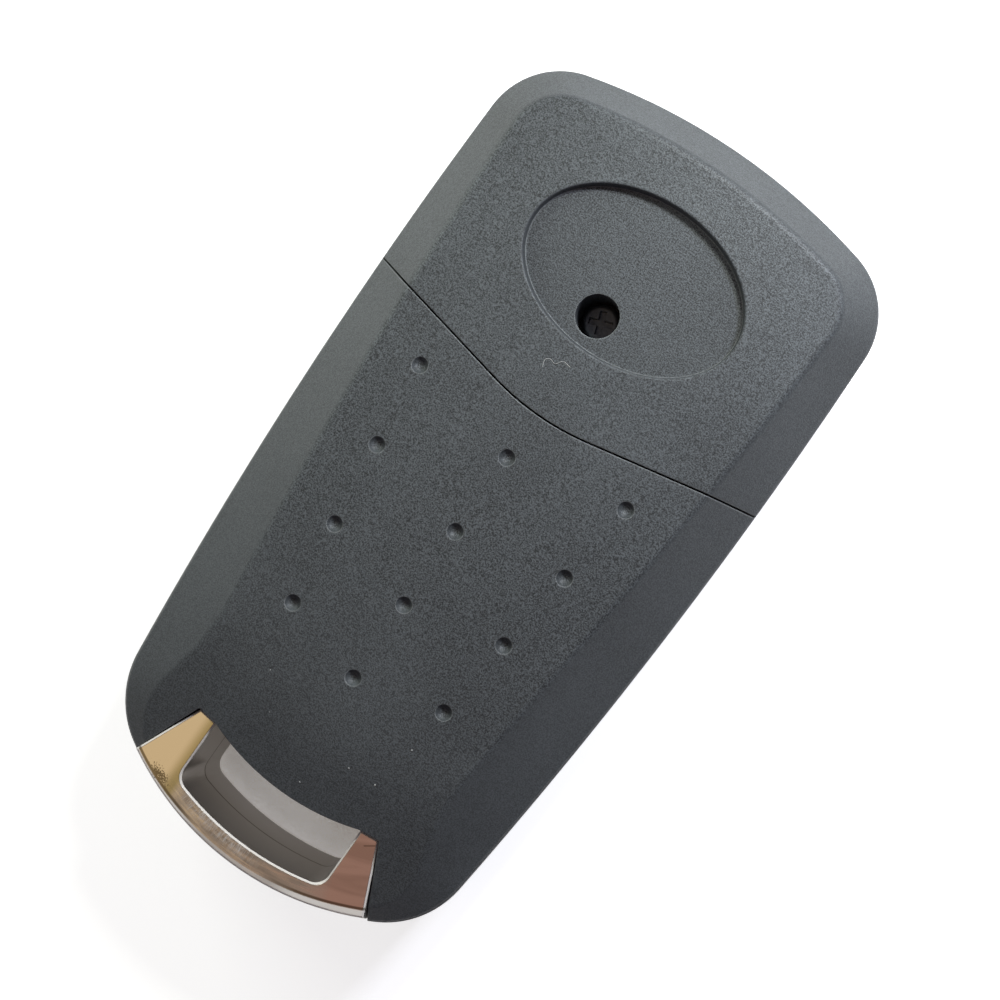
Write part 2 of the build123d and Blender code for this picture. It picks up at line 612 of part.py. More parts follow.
def ring_hole(inset, z):
    """Ring opening at level z: straight sides, a bowed lower edge and rounded corners."""
    half = LUG_INNER_X + SEAT_GAP - inset
    hole = Rectangle(2 * half, FAR) & Pos(0, RING_INNER_Y + RING_INNER_R) * Circle(RING_INNER_R - inset)
    hole &= Pos(0, -FAR / 2 + TONGUE_Y - TONGUE_T - SEAT_GAP) * Rectangle(FAR, FAR)
    low = hole.vertices().sort_by(Axis.Y)[:2]
    return Pos(0, 0, z) * fillet(low, RING_INNER_CORNER_R)


def casing_screw():
    head = Pos(SCREW_X, SCREW_Y, SCREW_SEAT_Z) * extrude(Circle(SCREW_HEAD_D / 2), SCREW_HEAD_H)
    head = fillet(head.edges().sort_by(Axis.Z)[-1], SCREW_HEAD_H / 3)
    tip = SCREW_D / 2
    shank_z = SCREW_SEAT_Z - SCREW_LENGTH
    shank = disc(SCREW_X, SCREW_Y, SCREW_D / 2, shank_z + tip, SCREW_SEAT_Z)
    point = Pos(SCREW_X, SCREW_Y, shank_z + tip / 2) * Cone(SCREW_TIP_D / 2, SCREW_D / 2, tip)
    screw = head + shank + point
    for turn in (0, 90):
        slot = Pos(SCREW_X, SCREW_Y, SCREW_SEAT_Z + SCREW_HEAD_H) * Rot(0, 0, CROSS_TURN + turn)
        screw -= slot * Box(CROSS_L, CROSS_W, 2 * CROSS_DEPTH)
    return screw


def blade_hub():
    """Round head that carries the blade: a cup for spring and button, and a neck for the blade."""
    hub = disc(PIVOT_X, PIVOT_Y, HUB_R, HUB_Z0, HUB_Z1)
    neck_y = PIVOT_Y - NECK_REACH
    neck = block(HUB_LEFT, HUB_RIGHT, neck_y, PIVOT_Y, HUB_Z0, HUB_Z1)
    corners = neck.edges().filter_by(Axis.Z).sort_by(Axis.Y)[:2]
    hub += fillet(corners, NECK_CORNER_R)
    hub -= disc(PIVOT_X, PIVOT_Y, CUP_R, HUB_Z0, HUB_FLOOR_Z)
    hub -= disc(PIVOT_X, PIVOT_Y, TRUNNION_R + TRUNNION_GAP, HUB_FLOOR_Z, HUB_Z1)
    for side in (-1, 1):
        hub -= keyway(side, BUTTON_FIT, HUB_Z0, HUB_FLOOR_Z)
    half = TANG_W / 2 + PIN_FIT
    hub -= block(BLADE_X - half, BLADE_X + half, neck_y, neck_y + TANG_LENGTH + PIN_FIT,
                 BLADE_Z - BLADE_T / 2 - PIN_FIT, BLADE_Z + BLADE_T / 2 + PIN_FIT)
    hub -= disc(BLADE_X, neck_y + TANG_LENGTH / 2, PIN_R + PIN_FIT, HUB_Z0, HUB_Z1)
    return hub


def keyway(side, gap, z0, z1):
    """Key on the release button, or its groove in the hub: they make the two turn together."""
    near = side * (BUTTON_FLANGE_R - BUTTON_SKIRT_T / 2)
    far = side * (CUP_R + KEYWAY_DEPTH + gap)
    half = KEYWAY_W / 2 + gap
    return block(PIVOT_X + min(near, far), PIVOT_X + max(near, far), PIVOT_Y - half, PIVOT_Y + half, z0, z1)


def key_blade():
    """Blade that has not been cut yet: a flat bar with a point, a groove in each face and a tang."""
    tip_y = PIVOT_Y - BLADE_REACH
    neck_y = PIVOT_Y - NECK_REACH
    half = BLADE_W / 2
    point = BLADE_POINT_W / 2
    outline = Polygon(
        (BLADE_X - half, neck_y), (BLADE_X - half, tip_y + BLADE_TIP), (BLADE_X - point, tip_y),
        (BLADE_X + point, tip_y), (BLADE_X + half, tip_y + BLADE_TIP), (BLADE_X + half, neck_y),
        align=None,
    )
    z0 = BLADE_Z - BLADE_T / 2
    blade = prism(outline, z0, z0 + BLADE_T)
    tang = TANG_W / 2
    blade += block(BLADE_X - tang, BLADE_X + tang, neck_y - SEAT_GAP, neck_y + TANG_LENGTH, z0, z0 + BLADE_T)
    groove = BLADE_GROOVE_W / 2
    for face_z in (z0, z0 + BLADE_T):
        blade -= block(BLADE_X - groove, BLADE_X + groove, tip_y - OVER, neck_y - BLADE_TIP,
                       face_z - BLADE_GROOVE_DEPTH, face_z + BLADE_GROOVE_DEPTH)
    blade -= disc(BLADE_X, neck_y + TANG_LENGTH / 2, PIN_R + PIN_FIT, z0, z0 + BLADE_T)
    return blade


def blade_pin():
    """Slotted spring pin through neck and tang."""
    y = PIVOT_Y - NECK_REACH + TANG_LENGTH / 2
    pin = disc(BLADE_X, y, PIN_R, HUB_Z0, HUB_Z1) - disc(BLADE_X, y, PIN_BORE_R, HUB_Z0, HUB_Z1)
    slit = PIN_SLIT / 2
    return pin - block(BLADE_X, BLADE_X + 2 * PIN_R, y - slit, y + slit, HUB_Z0, HUB_Z1)


def release_button():
    """Round push button at the pivot, a cup round the spring: it holds the hub until it is pressed."""
    floor_z = FLANGE_Z + BUTTON_FLANGE_H
    top = HUB_FLOOR_Z - BUTTON_TRAVEL - TRUNNION_TOP_GAP
    cap = Pos(PIVOT_X, PIVOT_Y, BUTTON_FACE_Z) * extrude(Circle(BUTTON_R), floor_z - BUTTON_FACE_Z)
    button = fillet(cap.edges().sort_by(Axis.Z)[0], KEY_EDGE_R)
    button += disc(PIVOT_X, PIVOT_Y, BUTTON_FLANGE_R, FLANGE_Z, top)
    button -= disc(PIVOT_X, PIVOT_Y, BUTTON_FLANGE_R - BUTTON_SKIRT_T, floor_z, top)
    for side in (-1, 1):
        button += keyway(side, 0, top - KEYWAY_H, top)
    return button


def flip_spring():
    """Coil between button and hub."""
    z0 = FLANGE_Z + BUTTON_FLANGE_H + SPRING_WIRE_D / 2 + SEAT_GAP
    z1 = HUB_FLOOR_Z - SPRING_WIRE_D / 2 - SEAT_GAP
    path = Helix((z1 - z0) / SPRING_TURNS, z1 - z0, SPRING_R, center=(PIVOT_X, PIVOT_Y, z0))
    section = Plane(path @ 0, z_dir=path % 0) * Circle(SPRING_WIRE_D / 2)
    return sweep(section, path=path)


def key_cap(y):
    """Hard key cap with a flange behind the casing's window."""
    flange_z1 = FLANGE_Z + KEY_FLANGE_H
    cap = prism(key_outline(y, 0), KEY_FACE_Z, flange_z1)
    cap = fillet(cap.edges().group_by(Axis.Z)[0], KEY_EDGE_R)
    return cap + prism(key_outline(y, KEY_FLANGE), FLANGE_Z, flange_z1)


def pad_ribs():
    """Three ribs on the front casing, between and beside the keys, that carry the pad."""
    half = KEY_LENGTH / 2
    reach = (KEY_PITCH + KEY_WIDTH + 2 * PAD_MARGIN - PAD_RIB_T) / 2
    ribs = Part()
    for y in (KEY_MID_Y - reach, KEY_MID_Y, KEY_MID_Y + reach):
        ribs += block(KEY_MID_X - half, KEY_MID_X + half, y - PAD_RIB_T / 2, y + PAD_RIB_T / 2,
                      WALL, PAD_Z - SEAT_GAP)
    return ribs


def button_pad():
    """Silicone pad behind the key caps, with a dome under each."""
    length = KEY_PITCH + KEY_WIDTH + 2 * PAD_MARGIN
    outline = Pos(KEY_MID_X, KEY_MID_Y) * RectangleRounded(KEY_LENGTH, length, KEY_CORNER_R)
    pad = prism(outline, PAD_Z, PAD_Z + PAD_T)
    wall = PAD_T / 2
    dome_z = PAD_Z - KEY_TRAVEL / 2
    for y in key_places().values():
        pad += Pos(KEY_MID_X, y, dome_z) * Cone(DOME_TOP_R, DOME_R, KEY_TRAVEL)
        pad -= Pos(KEY_MID_X, y, dome_z + PAD_T) * Cone(DOME_TOP_R - wall, DOME_R - wall, KEY_TRAVEL)
    return pad


def main():
    os.makedirs("parts", exist_ok=True)
    nodes = {
        "front_casing": front_casing(),
        "rear_casing": rear_casing(),
        "battery_cover": battery_cover(),
        "key_ring_bar": key_ring_bar(),
        "casing_screw": casing_screw(),
        "blade_hub": blade_hub(),
        "key_blade": key_blade(),
        "blade_pin": blade_pin(),
        "release_button": release_button(),
        "flip_spring": flip_spring(),
        "button_pad": button_pad(),
    }
    for name, y in key_places().items():
        nodes[name] = key_cap(y)
    for name, solid in nodes.items():
        export_step(solid, f"parts/{name}.step")


main()
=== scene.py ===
"""Folding car key remote housing, lying on its button face with the back face up, dressed for rendering.

Everything is in metres, X across the key, Y from the ring bar towards the head, Z up.
"""
from math import cos, pi, radians, sin

import bpy
from mathutils import Matrix, Vector
from mathutils.bvhtree import BVHTree


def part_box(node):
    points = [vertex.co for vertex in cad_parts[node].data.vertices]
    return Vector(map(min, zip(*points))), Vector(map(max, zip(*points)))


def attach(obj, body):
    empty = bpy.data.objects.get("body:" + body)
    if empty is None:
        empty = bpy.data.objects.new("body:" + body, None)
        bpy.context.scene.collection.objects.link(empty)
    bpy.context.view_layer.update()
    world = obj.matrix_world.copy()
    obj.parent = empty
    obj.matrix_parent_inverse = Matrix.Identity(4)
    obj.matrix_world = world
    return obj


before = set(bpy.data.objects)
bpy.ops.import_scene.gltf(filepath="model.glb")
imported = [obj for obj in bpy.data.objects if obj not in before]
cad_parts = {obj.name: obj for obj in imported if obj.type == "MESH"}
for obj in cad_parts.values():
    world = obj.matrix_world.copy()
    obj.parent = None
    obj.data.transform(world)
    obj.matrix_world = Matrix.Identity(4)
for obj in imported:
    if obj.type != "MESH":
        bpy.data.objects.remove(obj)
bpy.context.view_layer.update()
MM = 0.001


# Camera: above the key and a little to its blade side, turned so that the head points up and to the right
CAMERA_PLACE = Vector((18.7, 7.47, 169.0)) * MM
CAMERA_TARGET = Vector((0.7, 1.57, 8.0)) * MM
HEAD_TURN = radians(35.185)
LENS_MM = 68.112
SENSOR_MM = 36.0
CLIP = (0.01, 10.0)


def put(name, data):
    """New object of the scene, at the origin."""
    placed = bpy.data.objects.new(name, data)
    bpy.context.scene.collection.objects.link(placed)
    return placed


camera = put("camera", bpy.data.cameras.new("camera"))
camera.data.sensor_width = SENSOR_MM
camera.data.lens = LENS_MM
camera.data.clip_start, camera.data.clip_end = CLIP
backward = (CAMERA_PLACE - CAMERA_TARGET).normalized()
key_up = Vector((0, 1, 0)) - backward * backward.y
key_up.normalize()
upward = Matrix.Rotation(HEAD_TURN, 3, backward) @ key_up
rightward = upward.cross(backward)
turned = Matrix((rightward, upward, backward)).transposed().to_4x4()
camera.matrix_world = Matrix.Translation(CAMERA_PLACE) @ turned
bpy.context.scene.camera = camera


# Studio: a white table in a dim room that is brighter beyond the head end and to the left. Two lamps stand beyond
# the head end and a weaker one on the left. A warm patch overhead shows in the chrome, gold on its left side and
# brown on its right.
LIGHT_SIDE = Vector((-0.50, 0.80, 0.33)).normalized()
LIGHT_SPREAD = (-0.5, 0.9)
ROOM_LIGHT = (0.25, 0.235, 0.26, 1)
ROOM_DARK = (0.115, 0.106, 0.132, 1)
WARM_PLACE = Vector((-0.12, -0.25, 0.96)).normalized()
WARM_FADE = (0.30, 0.16)
WARM_GOLD = (0.98, 0.73, 0.41, 1)
WARM_BROWN = (0.46, 0.26, 0.20, 1)
WARM_TURN = (-0.115, -0.055)
WARM_RIPPLE = 14.0
WARM_RIPPLE_DEPTH = 0.06
LAMPS = {
    "window": dict(place=(35, 108, 99), size=22, watts=0.127, colour=(0.80, 0.85, 1.0)),
    "skylight": dict(place=(0, 108, 112), size=26, watts=0.133, colour=(0.95, 1.0, 0.92)),
    "side_window": dict(place=(-125, 30, 70), size=70, watts=0.081, colour=(0.91, 1.0, 0.89)),
}


def add(tree, kind, sockets=None, **settings):
    """One node of a shader or geometry tree: settings are its own choices, sockets are numbers or links into it."""
    node = tree.nodes.new(tree.bl_idname.removesuffix("Tree") + kind)
    for setting, value in settings.items():
        setattr(node, setting, value)
    for socket, value in (sockets or {}).items():
        if isinstance(value, bpy.types.NodeSocket):
            tree.links.new(value, node.inputs[socket])
        else:
            node.inputs[socket].default_value = value
    return node


def ramp(tree, value, start, end, low, high, smooth=False):
    """Value from start to end turned into low to high, and held beyond both."""
    steps = "SMOOTHSTEP" if smooth else "LINEAR"
    node = add(tree, "MapRange", {0: value, 1: start, 2: end, 3: low, 4: high}, interpolation_type=steps)
    return node.outputs[0]


def work(tree, operation, *values, clamp=False):
    """One sum of numbers or links."""
    return add(tree, "Math", dict(enumerate(values)), operation=operation, use_clamp=clamp).outputs[0]


def vector(tree, operation, *values):
    """One sum of vectors, and its plain number where it gives one."""
    node = add(tree, "VectorMath", dict(enumerate(values)), operation=operation)
    return node.outputs["Value" if operation in ("DOT_PRODUCT", "LENGTH", "DISTANCE") else "Vector"]


def mix(tree, share, first, second):
    return add(tree, "Mix", {0: share, 6: first, 7: second}, data_type="RGBA").outputs[2]


def noise(tree, place, scale, detail, roughness=0.5, distortion=0.0):
    return add(tree, "TexNoise", {
        "Vector": place, "Scale": scale, "Detail": detail, "Roughness": roughness, "Distortion": distortion,
    }).outputs["Fac"]


world = bpy.data.worlds.new("room")
world.use_nodes = True
tree = world.node_tree
ray = add(tree, "TexCoord").outputs["Generated"]
facing = vector(tree, "DOT_PRODUCT", ray, LIGHT_SIDE)
room = mix(tree, ramp(tree, facing, *LIGHT_SPREAD, 0.0, 1.0, smooth=True), ROOM_DARK, ROOM_LIGHT)
ripple = noise(tree, ray, WARM_RIPPLE, 2.0)
part = add(tree, "SeparateXYZ", {0: ray})
rippled = work(tree, "MULTIPLY_ADD", ripple, WARM_RIPPLE_DEPTH, part.outputs["X"])
warm = mix(tree, ramp(tree, rippled, *WARM_TURN, 0.0, 1.0), WARM_GOLD, WARM_BROWN)
away = vector(tree, "DISTANCE", ray, WARM_PLACE)
near = ramp(tree, away, *WARM_FADE, 0.0, 1.0, smooth=True)
tree.links.new(mix(tree, near, room, warm), tree.nodes["Background"].inputs["Color"])
bpy.context.scene.world = world

for name, lamp in LAMPS.items():
    light = bpy.data.lights.new(name, "AREA")
    light.shape = "SQUARE"
    light.size = lamp["size"] * MM
    light.energy = lamp["watts"]
    light.color = lamp["colour"]
    place = Vector(lamp["place"]) * MM
    aimed = place.to_track_quat("Z", "Y").to_matrix().to_4x4()
    put(name, light).matrix_world = Matrix.Translation(place) @ aimed


# Floor: a white table top a hair under the key. It keeps the key's soft shadow, and its glow is darkened by
# painted shade near the key, darkest in the ring opening. It isn't there for a view from below.
FLOOR_HALF = 1.5
FLOOR_GAP = 0.03 * MM
FLOOR_COLOUR = (0.78, 0.78, 0.77, 1)
FLOOR_GLOW = 0.70
FLOOR_WHITE = (1, 1, 1, 1)
FLOOR_PAINTED_SHADE = (0.205, 0.182, 0.158, 1)
SHADE_REACH = 20 * MM
SHADE_RANGE = (0.12, 0.42)


def blank_material(name):
    material = bpy.data.materials.new(name)
    material.use_nodes = True
    material.node_tree.nodes.clear()
    return material, material.node_tree


def close_material(tree, shader):
    add(tree, "OutputMaterial", {"Surface": shader.outputs[0]})


floor_mesh = bpy.data.meshes.new("floor")
ways = ((-1, -1), (1, -1), (1, 1), (-1, 1))
floor_mesh.from_pydata([(x * FLOOR_HALF, y * FLOOR_HALF, -FLOOR_GAP) for x, y in ways], [], [(0, 1, 2, 3)])
floor = put("floor", floor_mesh)
floor_paint, tree = blank_material("floor_paint")
matt = add(tree, "BsdfDiffuse", {"Color": FLOOR_COLOUR})
path = add(tree, "LightPath")
shown = work(tree, "MAXIMUM", path.outputs["Is Camera Ray"], path.outputs["Is Glossy Ray"])
shown = work(tree, "MAXIMUM", shown, path.outputs["Is Transmission Ray"])
# painted shade: the glow darkens where the key hides the sky, most in the ring opening
open_sky = add(tree, "AmbientOcclusion", {"Distance": SHADE_REACH}, samples=8)
clear = ramp(tree, open_sky.outputs["AO"], *SHADE_RANGE, 0.0, 1.0, smooth=True)
painted_shade_tint = mix(tree, clear, FLOOR_PAINTED_SHADE, FLOOR_WHITE)
glow = add(tree, "Emission", {"Color": painted_shade_tint, "Strength": work(tree, "MULTIPLY", shown, FLOOR_GLOW)})
lit = add(tree, "AddShader", {0: matt.outputs[0], 1: glow.outputs[0]})
side = add(tree, "NewGeometry")
see_through = add(tree, "BsdfTransparent")
close_material(tree, add(tree, "MixShader", {
    0: side.outputs["Backfacing"], 1: lit.outputs[0], 2: see_through.outputs[0],
}))
floor.data.materials.append(floor_paint)


# Casings and battery cover: injection-moulded ABS in charcoal, with the fine grain of a spark-eroded mould.
# The two casings are clamped by one screw, and the cover snaps over the battery deck.
GRAIN_SIZE = 0.13 * MM
GRAIN_HEIGHT = 0.03 * MM
GRAIN_COARSE = 0.12         # share of waves wider than the pits
GRAIN_WAVES = 0.4           # their number beside that of the pits
GRAIN_RANGE = (0.40, 0.60)
SMOOTH_BEVELS = (0.78, 0.95, 0.4)   # lean from which the grain fades, where it is full, and what the bevels keep
HANDLED = (-30 * MM, -4 * MM, 0.5)  # the same along the key, where hands have polished the ring end
# tones of pits, tops and edges; the pale edge tone is wear and also a painted highlight along the edges
CHARCOAL = ((0.013, 0.0138, 0.0148, 1), (0.096, 0.1055, 0.1125, 1), (0.23, 0.24, 0.24, 1))
CASING_EDGE_R = 0.18 * MM
WEAR_PATCHES = 900.0
METAL_WEAR = (0.02, 0.2)            # turn of an edge from which it wears, and where it is fully worn
# pale edges: wear, and a painted highlight on rims such as the badge recess
CASING_WEAR_AND_HIGHLIGHT = {"Start": 0.012, "Full": 0.09}
WEAR_AND_HIGHLIGHT_MOST = 0.9
CLOUDS = 110.0
CLOUD_DEPTH = 0.08
PLASTIC_GLOSS = (0.60, 0.44)


def new_group(name, kind, inputs, outputs):
    """Empty node group with named sockets; inputs are (name, socket kind, value or None)."""
    group = bpy.data.node_groups.new(name, kind)
    for title, socket_kind, value in inputs:
        socket = group.interface.new_socket(title, in_out="INPUT", socket_type=socket_kind)
        if value is not None:
            socket.default_value = value
    for title, socket_kind in outputs:
        group.interface.new_socket(title, in_out="OUTPUT", socket_type=socket_kind)
    return group, group.nodes.new("NodeGroupInput"), group.nodes.new("NodeGroupOutput")


def place_group(tree, group, sockets):
    return add(tree, "Group", sockets, node_tree=group)


grain_group, inside, outside = new_group(
    "moulded_grain", "ShaderNodeTree",
    [("Size", "NodeSocketFloat", GRAIN_SIZE), ("Coarse", "NodeSocketFloat", GRAIN_COARSE)],
    [("Height", "NodeSocketFloat"), ("Speck", "NodeSocketFloat")],
)
spot = add(grain_group, "TexCoord").outputs["Object"]
density = work(grain_group, "DIVIDE", 1.0, inside.outputs["Size"])
pits = noise(grain_group, spot, density, 2.0, 0.7)
waves = noise(grain_group, spot, work(grain_group, "MULTIPLY", density, GRAIN_WAVES), 1.0)
blended = add(grain_group, "Mix", {0: inside.outputs["Coarse"], 2: pits, 3: waves}, data_type="FLOAT").outputs[0]
speck = ramp(grain_group, blended, *GRAIN_RANGE, -0.5, 0.5)
way = add(grain_group, "SeparateXYZ", {0: add(grain_group, "NewGeometry").outputs["Normal"]})
place = add(grain_group, "SeparateXYZ", {0: spot})
level = ramp(grain_group, way.outputs["Z"], *SMOOTH_BEVELS, 1.0)
handled = ramp(grain_group, place.outputs["Y"], *HANDLED, 1.0)
crisp = work(grain_group, "MULTIPLY", level, handled)
grain_group.links.new(blended, outside.inputs["Height"])
grain_group.links.new(work(grain_group, "MULTIPLY_ADD", speck, crisp, 0.5), outside.inputs["Speck"])

# mask of rounded edges, used on plastic for wear and a painted highlight, and the rounded normal
lit_wear_group, inside, outside = new_group(
    "edge_wear_and_highlight", "ShaderNodeTree",
    [
        ("Radius", "NodeSocketFloat", CASING_EDGE_R), ("Start", "NodeSocketFloat", METAL_WEAR[0]),
        ("Full", "NodeSocketFloat", METAL_WEAR[1]),
    ],
    [("Mask", "NodeSocketFloat"), ("Normal", "NodeSocketVector")],
)
rounded = add(lit_wear_group, "Bevel", {"Radius": inside.outputs["Radius"]}, samples=4).outputs[0]
flat = add(lit_wear_group, "NewGeometry").outputs["Normal"]
apart = work(lit_wear_group, "SUBTRACT", 1.0, vector(lit_wear_group, "DOT_PRODUCT", rounded, flat))
patches = noise(lit_wear_group, add(lit_wear_group, "TexCoord").outputs["Object"], WEAR_PATCHES, 3.0)
broken = work(lit_wear_group, "MULTIPLY", apart, patches)
mask = ramp(lit_wear_group, broken, inside.outputs["Start"], inside.outputs["Full"], 0.0, 1.0)
lit_wear_group.links.new(mask, outside.inputs["Mask"])
lit_wear_group.links.new(rounded, outside.inputs["Normal"])


def grained_plastic(name, tones, size, height, edge_r):
    """Moulded plastic with dark pits and paler tops, finer on the bevels and where hands polish it, and pale edges
    that are partly wear and partly a painted highlight.
    """
    pit, top, worn = tones
    material, tree = blank_material(name)
    spot = add(tree, "TexCoord").outputs["Object"]
    grain = place_group(tree, grain_group, {"Size": size})
    wear_and_glint = place_group(tree, lit_wear_group, {"Radius": edge_r, **CASING_WEAR_AND_HIGHLIGHT})
    tone = ramp(tree, noise(tree, spot, CLOUDS, 4.0), 0.3, 0.7, -CLOUD_DEPTH, CLOUD_DEPTH)
    moulded = mix(tree, work(tree, "ADD", grain.outputs["Speck"], tone), pit, top)
    # pale edges: wear and a painted highlight
    rubbed_and_lit = work(tree, "MULTIPLY", wear_and_glint.outputs["Mask"], WEAR_AND_HIGHLIGHT_MOST)
    bump = add(tree, "Bump", {
        "Strength": 1.0, "Distance": height, "Height": grain.outputs["Height"], "Normal": wear_and_glint.outputs["Normal"],
    })
    close_material(tree, add(tree, "BsdfPrincipled", {
        "Base Color": mix(tree, rubbed_and_lit, moulded, worn), "Normal": bump.outputs[0],
        "Roughness": ramp(tree, grain.outputs["Height"], 0.3, 0.75, *PLASTIC_GLOSS),
        "IOR": 1.5, "Specular IOR Level": 0.5,
    }))
    return material


def dress(node, material):
    """Gives a CAD node its material."""
    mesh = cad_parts[node].data
    mesh.materials.clear()
    mesh.materials.append(material)


casing_plastic = grained_plastic("casing_plastic", CHARCOAL, GRAIN_SIZE, GRAIN_HEIGHT, CASING_EDGE_R)
for node in ("front_casing", "rear_casing", "battery_cover"):
    dress(node, casing_plastic)


# Key ring bar: one piece of ABS plated with bright chrome, its hidden tongue trapped in the front casing.
# Keys and rings have dulled and scuffed its top, and grime lies by the left lug and in the line where the mould's
# halves met. Its top also carries painted reflections, brown, olive and a pale strip along the outer edge, and a
# painted highlight along its small bevels.
CHROME = (0.56, 0.54, 0.52, 1)
# brown of the dull streaks and patches, a painted reflection
DULLED_AND_REFLECTED = (0.215, 0.185, 0.155, 1)
# colour of the painted olive reflection
OLIVE_REFLECTION = (0.27, 0.25, 0.15, 1)
GRIME = (0.10, 0.085, 0.06, 1)
# pale colour of the scuffs, and of the painted rim highlight and floor reflection
PALE_WEAR_AND_HIGHLIGHT = (0.76, 0.71, 0.66, 1)
CHROME_TINT = (0.5, 0.48, 0.46, 1)
CHROME_GLOSS = (0.06, 0.45)
CHROME_EDGE_R = 0.15 * MM
CHROME_WEAR = {"Start": 0.01, "Full": 0.08}
BAR_END_R = 26.1 * MM
BAR_CENTRE_Y = -10.9 * MM
BAR_TOP = 12.3 * MM
BAR_MID = 6.65 * MM

bar_chrome, tree = blank_material("bar_chrome")
spot = add(tree, "TexCoord").outputs["Object"]
wear_and_glint = place_group(tree, lit_wear_group, {"Radius": CHROME_EDGE_R, **CHROME_WEAR})
place = add(tree, "SeparateXYZ", {0: spot})
outward = vector(tree, "MULTIPLY_ADD", spot, (1, -1, 0), (0, BAR_CENTRE_Y, 0))
from_edge = work(tree, "SUBTRACT", BAR_END_R, vector(tree, "LENGTH", outward))
sides = add(tree, "SeparateXYZ", {0: outward})
angle = work(tree, "ARCTAN2", sides.outputs["X"], sides.outputs["Y"])
arc = work(tree, "MULTIPLY", angle, BAR_END_R)
on_bar = add(tree, "CombineXYZ", {0: arc, 1: from_edge, 2: place.outputs["Z"]}).outputs[0]
top = ramp(tree, place.outputs["Z"], BAR_TOP - 0.3 * MM, BAR_TOP - 0.1 * MM, 0.0, 1.0)
off_middle = work(tree, "ABSOLUTE", arc)


def product(tree, first, *others):
    """Several masks multiplied in turn."""
    for other in others:
        first = work(tree, "MULTIPLY", first, other)
    return first


def distance_from(tree, value, line):
    return work(tree, "ABSOLUTE", work(tree, "SUBTRACT", value, line))


# along the bar: fine dull streaks, none at the ends of the lugs, tinted brown as a painted reflection
STREAK_STRETCH = (0.1, 1.0, 0.3)
STREAKS = 3200.0
STREAK_RANGE = (0.24, 0.66, 0.1, 0.95)
STREAK_FADE = (9.5 * MM, 6.5 * MM)
stretched = vector(tree, "MULTIPLY", on_bar, STREAK_STRETCH)
along = ramp(tree, noise(tree, stretched, STREAKS, 4.0, 0.65), *STREAK_RANGE)
dull = product(tree, along, ramp(tree, off_middle, *STREAK_FADE, 0.0, 1.0), top)

# across the bar: short bright scuffs left of the middle, on the side of the opening
SCUFF_SQUEEZE = (1.0, 0.22, 0.3)
SCUFFS = 4200.0
SCUFF_RANGE = (0.42, 0.72, 0.0, 0.65)
SCUFF_MIDDLE = -2.6 * MM
SCUFF_FADE = (5.6 * MM, 2.8 * MM)
SCUFF_INNER = (1.2 * MM, 1.9 * MM, 0.0, 0.75)
squeezed = vector(tree, "MULTIPLY", on_bar, SCUFF_SQUEEZE)
across = ramp(tree, noise(tree, squeezed, SCUFFS, 3.0, 0.7), *SCUFF_RANGE)
by_scuffs = ramp(tree, distance_from(tree, arc, SCUFF_MIDDLE), *SCUFF_FADE, 0.0, 1.0)
scuffs = product(tree, across, by_scuffs, ramp(tree, from_edge, *SCUFF_INNER), top)

# pale strip along the outer edge, wider to the right, a painted reflection of the white floor, and a dark line of
# grime beside it near both lugs
STRIP_WIDTH = (0.86 * MM, 1.25 * MM)
STRIP_ENDS = 11 * MM
STRIP_SOFT = 0.05 * MM
STRIP_MOST = 0.9
LUGS_FROM = (4.0 * MM, 6.5 * MM)
LINE_OFF = 0.13 * MM
LINE_SOFT = (0.16 * MM, 0.07 * MM)
LINE_MOST = 0.85
strip = ramp(tree, arc, -STRIP_ENDS, STRIP_ENDS, *STRIP_WIDTH)
off_strip = work(tree, "SUBTRACT", from_edge, strip)
by_lugs = ramp(tree, off_middle, *LUGS_FROM, 0.0, 1.0)
pale_strip_reflection = ramp(tree, off_strip, STRIP_SOFT, -STRIP_SOFT, 0.0, STRIP_MOST)
pale_strip_reflection = product(tree, pale_strip_reflection, ramp(tree, by_lugs, 0.0, 1.0, 0.5, 1.0))
line = ramp(tree, distance_from(tree, off_strip, LINE_OFF), *LINE_SOFT, 0.0, LINE_MOST)
line = product(tree, line, by_lugs, top)

# grime: specks by the left lug, one scratch on the right lug and the mould's parting line
SPECKLE = 6500.0
SPECKLE_AT = (9.7 * MM, -2.9 * MM, 0)       # minus its place along the bar, and minus 2.2 times that from the edge
SPECKLE_SHAPE = (1.0, 2.2, 0)
SPECKLE_FADE = (2.2 * MM, 0.4 * MM, 0.0, 0.38)
SPECKLE_RANGE = (0.76, 0.82, 0.0, 0.9)
PARTING_SOFT = (0.16 * MM, 0.08 * MM)
PARTING_MOST = 0.8
SCRATCH_AT = Vector((8.97, -28.15, 12.3)) * MM
SCRATCH_WAY = Vector((0.81, 0.59, 0))
SCRATCH_HALF = (0.5 * MM, 0.06 * MM)
SCRATCH_MOST = 0.6
corner = vector(tree, "LENGTH", vector(tree, "MULTIPLY_ADD", on_bar, SPECKLE_SHAPE, SPECKLE_AT))
specks = work(tree, "ADD", noise(tree, on_bar, SPECKLE, 2.0, 0.6), ramp(tree, corner, *SPECKLE_FADE))
specks = product(tree, ramp(tree, specks, *SPECKLE_RANGE), top)
parting = ramp(tree, distance_from(tree, place.outputs["Z"], BAR_MID), *PARTING_SOFT, 0.0, PARTING_MOST)
to_scratch = vector(tree, "SUBTRACT", spot, SCRATCH_AT)
lengthways = vector(tree, "DOT_PRODUCT", to_scratch, SCRATCH_WAY)
sideways = vector(tree, "DOT_PRODUCT", to_scratch, SCRATCH_WAY.cross(Vector((0, 0, 1))))
within, thin = (
    work(tree, "COMPARE", off, 0.0, half) for off, half in zip((lengthways, sideways), SCRATCH_HALF)
)
grime = work(tree, "MAXIMUM", line, specks)
grime = work(tree, "MAXIMUM", grime, parting)
